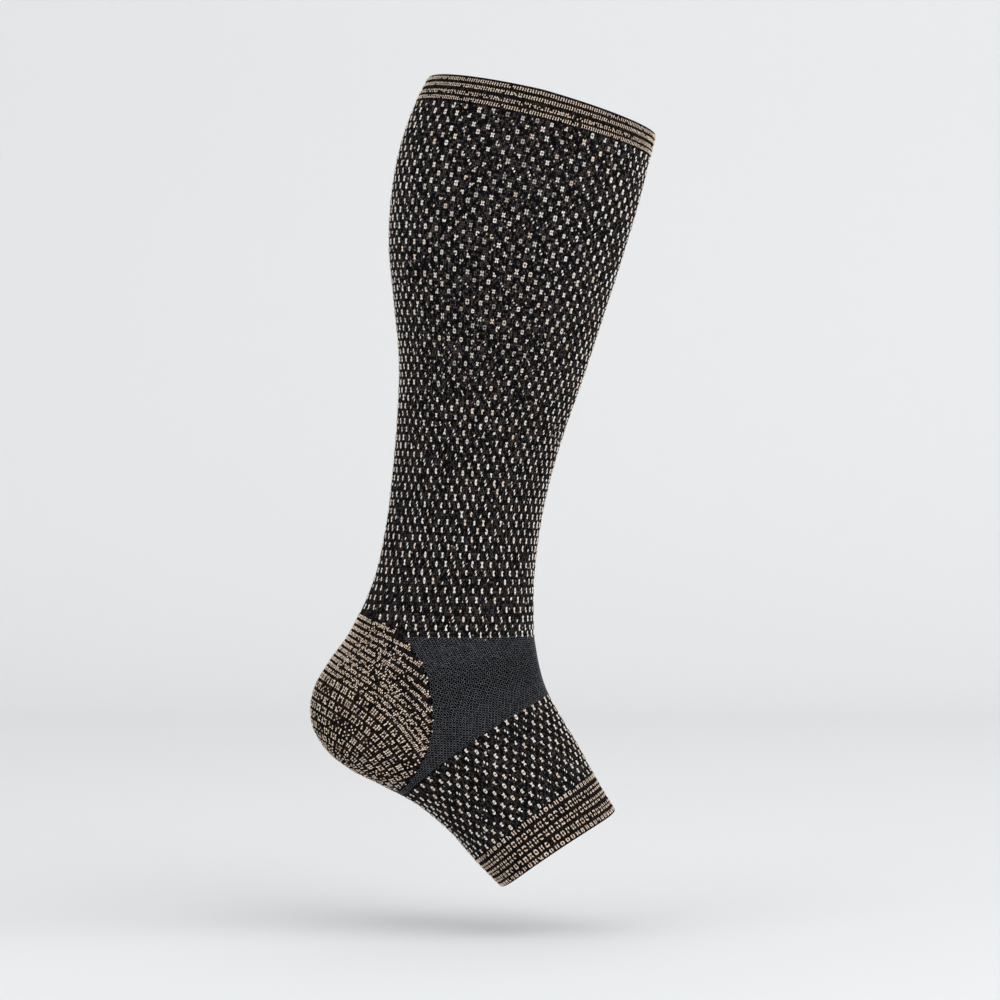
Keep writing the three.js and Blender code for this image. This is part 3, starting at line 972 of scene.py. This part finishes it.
# moves a row down over the surface, square to itself, and spaces its points evenly again
def moveRow(route, distance):
    count = round(distance / heel["stride"])
    for _ in range(count):
        s, h = route.T
        at = surfaceAt(s, h)
        row = np.gradient(at, axis=0)
        row[0] *= (0, 1, 0)
        row = unit(row)
        alongStep, aroundStep = surfaceSlopes(s, h, (0.001, 0.001))
        way = np.cross(unit(np.cross(alongStep, aroundStep)), row)
        way *= np.sign(way[0] @ alongStep[0])
        a, b, c = (alongStep**2).sum(1), (alongStep * aroundStep).sum(1), (aroundStep**2).sum(1)
        p, q = (way * alongStep).sum(1), (way * aroundStep).sum(1)
        move = np.stack([p * c - q * b, q * a - p * b], 1) / (a * c - b * b)[:, None]
        route = route + move * distance / count
        route[1:-1] += 0.2 * (route[:-2] + route[2:] - 2 * route[1:-1])
        route[0, 1] = 0.5
        reach = reachOf(route)
        route = np.stack(alongRow(np.linspace(0, reach[-1], len(route)), reach, route), 1)
    return route


stripeCount = len(routes)
front = routes[-1][::2]
outward = (front[-1] - front[-4]) / 3
front = np.concatenate([front, front[-1] + outward * np.arange(1, heel["runOn"])[:, None]])
shown = [np.ones(len(route), bool) for route in routes]
for k in range(heel["mostBlockRows"]):
    front = moveRow(front, heel["blockPitch"] if k else (heel["stripePitch"] + heel["blockPitch"]) / 2)
    held = (pouchInside(front) > 0) & (front[:, 0] < footPanelStart) & (front[:, 1] <= 0.5)
    # below the heel the rows of both sides meet, and none runs over one that is laid already
    laid = np.concatenate([surfaceAt(*route[show].T) for route, show in zip(routes, shown)])
    laid = np.concatenate([laid, laid * (1, -1, 1)])
    apart = np.linalg.norm(surfaceAt(*front.T)[:, None] - laid[None], axis=2).min(1)
    held &= apart > 0.6 * heel["blockPitch"]
    if held.sum() < 4:
        break
    routes.append(front)
    shown.append(held)
print("heel rows", stripeCount, "striped and", len(routes) - stripeCount, "in blocks")


def blockLegs(across, down, kinds):
    count = len(kinds)
    middle, corner = across == 0 and down == 0, across != 0 and down != 0
    turn = (np.sign(across * down) * 30 if corner else 0) + rng.normal(0, 14, count)
    gone = np.choose(kinds, [middle, not corner and not middle, False, rng.random(count) < 0.35])
    return turn, gone | (rng.random(count) < 0.06)


def stripeLegs(down, broken, nearFront):
    count = len(broken)
    turn = 24 * rng.choice([-1, 1], count) + rng.normal(0, 14, count)
    gone = rng.random(count) < 0.04 + 0.2 * broken
    if down > 1:
        gone = rng.random(count) > np.where(nearFront, 0.4, 0.1 * broken)
    return turn, gone


def heelStitches(name):
    parts = []
    for k, (route, show) in enumerate(zip(routes, shown)):
        reach = reachOf(route)
        blocks = k >= stripeCount
        spacing = heel["blockSpacing"] if blocks else heel["stripeSpacing"]
        count = round(reach[-1] / spacing)
        if count < 2:
            continue
        middles = (np.arange(count) + 0.5) * spacing
        if blocks:
            x, y = heel["blockOffset"]
            offsets = [(a, b) for a in (-x, 0, x) for b in (-y, 0, y)]
            kinds, broken = rng.choice(4, count, p=heel["blockKinds"]), np.zeros(count)
        else:
            # the stripes break up between the back of the heel and the front of the pouch
            offsets = heel["stripeOffsets"]
            broken = np.clip((middles - 12) / 14, 0, 1) * np.clip((reach[-1] - middles) / 12, 0.3, 1)
        long, wide = heel["blockLeg"] if blocks else heel["stripeLeg"]
        # partly random tone per stitch group, partly painted light: the heel's stitches stand brighter than
        # the cuffs' of the same yarn
        tone = rng.normal(0.95, 0.12, count).clip(0.45, 1)
        for across, down in offsets:
            where = np.clip(middles + across + rng.normal(0, 0.12, count), 0, reach[-1])
            station, share = alongRow(where, reach, route)
            ahead, behind = alongRow(where + 0.3, reach, route), alongRow(where - 0.3, reach, route)
            at, _, _, out = knitFrame(station, share)
            row = unit(surfaceAt(*ahead) - surfaceAt(*behind))
            wale = unit(np.cross(row, out))
            if blocks:
                turn, gone = blockLegs(across, down, kinds)
            else:
                turn, gone = stripeLegs(down, broken, reach[-1] - middles < heel["edgeFill"])
            shift = down + rng.normal(0, 0.05 + 0.1 * broken)
            lift = heel["proud"] + heel["ridge"] * 0.6
            centres, along = legsOn(at, row, wale, out, np.zeros(count), shift, turn, lift)
            shade = tone * rng.uniform(0.78, 1.1, count)
            shade = (shade * np.where(rng.random(count) < 0.1, 0.5, 1)).clip(0, 1)
            size = rng.normal(1, 0.1, count).clip(0.75, 1.2)
            kept = ~gone & (pouchInside(np.stack([station, share], 1)) > 0.015)
            kept &= (station < footPanelStart - 0.004) & (where < reach[-1])
            kept &= np.interp(where, reach, show) > 0.5
            columns = (centres, along, out, long * size, wide * size, shade, rng.random(count))
            parts.append([column[kept] for column in columns])
    columns = [np.concatenate(column) for column in zip(*parts)]
    mirror = np.array([1, -1, 1])
    doubled = [np.concatenate([c, c * mirror]) if c.ndim == 2 else np.concatenate([c, c]) for c in columns]
    centres, along, out, long, wide, shade, tint = doubled
    return yarnMesh(name, centres, along, out, long, wide, 0.24, shade, tint)


pouchStations = np.linspace(heel["sheetFrom"], footPanelStart, heel["sheetRows"] + 1)
pouchShares = np.linspace(*heel["sheetShares"], heel["sheetWales"])
points, faces = sheetGrid(pouchStations, pouchShares, wrap=False)
points, faces = trimSheet(points, faces, pouchInside)
rowPoints = np.concatenate([surfaceAt(*route[show].T) for route, show in zip(routes, shown)])
tree = kdtree.KDTree(len(rowPoints))
for k, place in enumerate(rowPoints):
    tree.insert(place, k)
tree.balance()
nearSide = surfaceAt(points[:, 0], np.minimum(points[:, 1], 1 - points[:, 1]))
ridges = heel["ridge"] * np.exp(-np.array([(tree.find(place)[2] / 1.2) ** 2 for place in nearSide]))
pouchInner = np.full(len(points), heel["proud"] - heel["wall"])
heelPouch = knitWall("heelPouch", points, faces, heel["proud"] + ridges, pouchInner)
heelKnit = groundMaterial("heelGround", heel)
copperYarn = stitchMaterial("copperYarn", copper)
dress(heelPouch, "heel_pouch", "copper_knit", heelKnit, insideKnit)
dress(heelStitches("heelStitches"), "heel_pouch", "copper_knit", copperYarn)

# the striped end cuffs
# stripes: middle in millimetres, half the gap between its two lines of stitches, brightness,
# share of stitches left out, share of cross stitches between the two lines
kneeCuff = {
    "stripes": [
        (1.7, 0.4, 0.95, 0.05, 0),
        (4.9, 0.45, 1.0, 0.05, 0.1),
        (8.7, 0.5, 0.9, 0.22, 0.15),
        (11.8, 0.45, 1.0, 0.05, 0),
    ],
    "spacing": 1.25,
    "halfLength": 0.54,
    "halfWidth": 0.3,
    "pairing": 0,
    "crossAt": (-0.5, 1.2),
    "backDip": 1.1,  # how much lower the rim lies at the back and at the front
    "frontDip": 1.7,
}
toeCuff = {
    "stripes": [
        (1.2, 0.45, 0.9, 0.12, 0.25),
        (5.6, 0.9, 0.92, 0.12, 0.5),
        (10.4, 0.9, 0.95, 0.1, 0.5),
        (15.0, 0.7, 0.95, 0.1, 0.45),
        (18.6, 0.35, 0.95, 0.06, 0.15),
    ],
    "spacing": 1.58,
    "halfLength": 0.78,
    "halfWidth": 0.36,
    "pairing": 0.11,  # how far the stitches of a pair move together, as a share of the spacing
    "crossAt": (-1.3, 1.3),  # where cross stitches lie, as shares of half the gap
    "backDip": 0,
    "frontDip": 0,
}
cuffProud, cuffRidge = 0.15, 0.16


# how far the knee rim drops at its back and front, fading out towards the calf panel
def dipped(station, share, cuff):
    turn = np.cos(2 * math.pi * share)
    dip = np.where(turn < 0, -turn * cuff["backDip"], turn * cuff["frontDip"])
    return station + dip / legLength * np.clip(1 - station / kneeCuffEnd, 0, 1)


def stripeStitches(name, cuff, stationOf):
    parts = []
    for stripe, gap, bright, missing, bridged in cuff["stripes"]:
        count = 2 * round(girthAt(stationOf(stripe)) / cuff["spacing"] / 2)
        side = np.arange(count) % 2 * 2 - 1
        lean = rng.choice([-22, 0, 0, 22], count)  # upper and lower legs lean against each other
        if cuff["pairing"]:
            lean = np.repeat(rng.choice([-28, -14, 0, 24], count // 2), 2) * side
        high, low = cuff["crossAt"]
        for down in (-gap, gap, gap * high, gap * low):
            legs = abs(down) == gap
            place = np.arange(count) + (0.5 - side * cuff["pairing"] if legs else 1.0)
            share = place / count + rng.normal(0, 0.0002, count)
            turn = (lean * np.sign(down) if legs else 90) + rng.normal(0, 7, count)
            kept = rng.random(count) > (missing if legs else 1 - bridged)
            if cuff["pairing"] and not legs:
                kept &= side < 0
            share = share[kept] % 1
            station = dipped(np.full(len(share), stationOf(stripe + down)), share, cuff)
            at, row, wale, out = knitFrame(station, share)
            below, lift = rng.normal(0, 0.07, len(share)), cuffProud + cuffRidge * 0.8
            centres, along = legsOn(at, row, wale, out, 0 * share, below, turn[kept], lift)
            # the cuffs' stitches are held darker than the heel's, taking off them the painted light of the
            # raised copper colours
            shade = bright * rng.uniform(0.6, 0.92, len(share))
            parts.append((centres, along, out, shade.clip(0, 1), rng.random(len(share))))
    centres, along, out, shade, tint = (np.concatenate(column) for column in zip(*parts))
    return yarnMesh(name, centres, along, out, cuff["halfLength"], cuff["halfWidth"], 0.2, shade, tint)


# a cuff's wall: ridges under the stripes, and its free edge rolled over
def cuffTube(name, cuff, start, end, stationOf, rimAtStart):
    fine = np.linspace(start, end, 64)
    rimDepth = np.array([0.0, 0.1, 0.25, 0.5, 0.9]) - form["rimRound"]
    if rimAtStart:
        rims = stationOf(rimDepth)
        stationsAlong = np.concatenate([rims, fine[fine > rims[-1]]])
    else:
        rims = 2 - rimDepth[::-1] / footLength
        stationsAlong = np.concatenate([fine[fine < rims[0]], rims])
    points, faces = sheetGrid(stationsAlong, tubeShares(200))
    length = legLength if rimAtStart else footLength
    along = (points[:, 0] - (0 if rimAtStart else toeCuffStart)) * length
    fromRim = points[:, 0] * legLength if rimAtStart else (2 - points[:, 0]) * footLength
    close = np.min([np.abs(along - stripe[0]) / (stripe[1] + 0.6) for stripe in cuff["stripes"]], axis=0)
    ridge = cuffRidge * np.clip(1.4 - close, 0, 1)
    roundness = np.clip((fromRim + form["rimRound"]) / 0.9, 0, 1)
    bulge = np.maximum(np.sqrt(1 - (1 - roundness) ** 2), 0.08)
    half = form["cuffWall"] / 2 * bulge
    middle = cuffProud - form["cuffWall"] / 2
    if rimAtStart:
        points[:, 0] = dipped(points[:, 0], points[:, 1], cuff)
    return knitWall(name, points, faces, middle + half + ridge * bulge, middle - half)


def kneeStation(mm):
    return mm / legLength


def toeStation(mm):
    return toeCuffStart + mm / footLength


cuffKnit = groundMaterial("cuffGround", {**heel, "fleck": 0.35})
kneeCuffTube = cuffTube("kneeCuff", kneeCuff, 0, kneeCuffEnd, kneeStation, True)
dress(kneeCuffTube, "knee_cuff", "copper_knit", cuffKnit, insideKnit)
dress(stripeStitches("kneeCuffStitches", kneeCuff, kneeStation), "knee_cuff", "copper_knit", copperYarn)
toeCuffTube = cuffTube("toeCuff", toeCuff, toeCuffStart, 2, toeStation, False)
dress(toeCuffTube, "toe_cuff", "copper_knit", cuffKnit, insideKnit)
dress(stripeStitches("toeCuffStitches", toeCuff, toeStation), "toe_cuff", "copper_knit", copperYarn)

# camera, floor and light

photo = {"lens": 112, "distance": 1.5244, "x": -0.0213, "z": -0.1936}
camera = bpy.data.objects.new("camera", bpy.data.cameras.new("camera"))
camera.data.lens, camera.data.sensor_width = photo["lens"], 36
camera.data.clip_start, camera.data.clip_end = 0.1, 30
camera.location = (photo["x"], -photo["distance"], photo["z"])
camera.rotation_euler = (math.pi / 2, 0, 0)
bpy.context.collection.objects.link(camera)
bpy.context.scene.camera = camera

studio = {
    "floorZ": -0.404,
    "wallAt": 2.2,
    "bend": 0.7,
    "backdropColour": (0.79, 0.795, 0.80),
    "worldStrength": 0.745,
    "keyPower": 48,
    "keySize": 3.0,
    "fillPower": 14,
    "fillSize": 2.0,
}


# floor, a round bend and a wall in one sweep
def makeBackdrop():
    across = np.linspace(-6, 6, 3)
    turns = np.linspace(0, math.pi / 2, 25)
    wallAt, bend, floorZ = studio["wallAt"], studio["bend"], studio["floorZ"]
    curve = [(wallAt - bend + bend * math.sin(t), floorZ + bend - bend * math.cos(t)) for t in turns]
    profile = [(-5, floorZ), *curve, (wallAt, floorZ + 6)]
    verts = [(x, y, z) for y, z in profile for x in across]
    corners = [i * 3 + j for i in range(len(profile) - 1) for j in range(2)]
    faces = [(a, a + 1, a + 4, a + 3) for a in corners]
    sweep = bpy.data.meshes.new("backdrop")
    sweep.from_pydata(verts, [], faces)
    sweep.polygons.foreach_set("use_smooth", [True] * len(faces))
    backdrop = bpy.data.objects.new("backdrop", sweep)
    bpy.context.collection.objects.link(backdrop)
    paper = bpy.data.materials.new("paleBackdrop")
    paper.use_nodes = True
    shader = paper.node_tree.nodes["Principled BSDF"]
    shader.inputs["Base Color"].default_value = (*studio["backdropColour"], 1)
    shader.inputs["Roughness"].default_value = 0.9
    shader.inputs["Specular IOR Level"].default_value = 0.1
    sweep.materials.append(paper)


makeBackdrop()


def softLight(name, place, aim, size, power):
    light = bpy.data.lights.new(name, "AREA")
    light.shape, light.size, light.energy = "SQUARE", size, power
    lamp = bpy.data.objects.new(name, light)
    lamp.location = place
    lamp.rotation_euler = (Vector(aim) - Vector(place)).to_track_quat("-Z", "Y").to_euler()
    bpy.context.collection.objects.link(lamp)


middleOfSleeve = (-0.03, 0, -0.2)
softLight("keyLight", (1.75, -1.15, 1.2), middleOfSleeve, studio["keySize"], studio["keyPower"])
softLight("fillLight", (-1.8, -1.4, 0.6), middleOfSleeve, studio["fillSize"], studio["fillPower"])

world = bpy.data.worlds.new("studioAir")
world.use_nodes = True
world.node_tree.nodes["Background"].inputs["Color"].default_value = (0.97, 0.985, 1.0, 1)
world.node_tree.nodes["Background"].inputs["Strength"].default_value = studio["worldStrength"]
bpy.context.scene.world = world
bpy.context.scene.view_settings.view_transform = "Standard"
print("camera, floor and light ready")
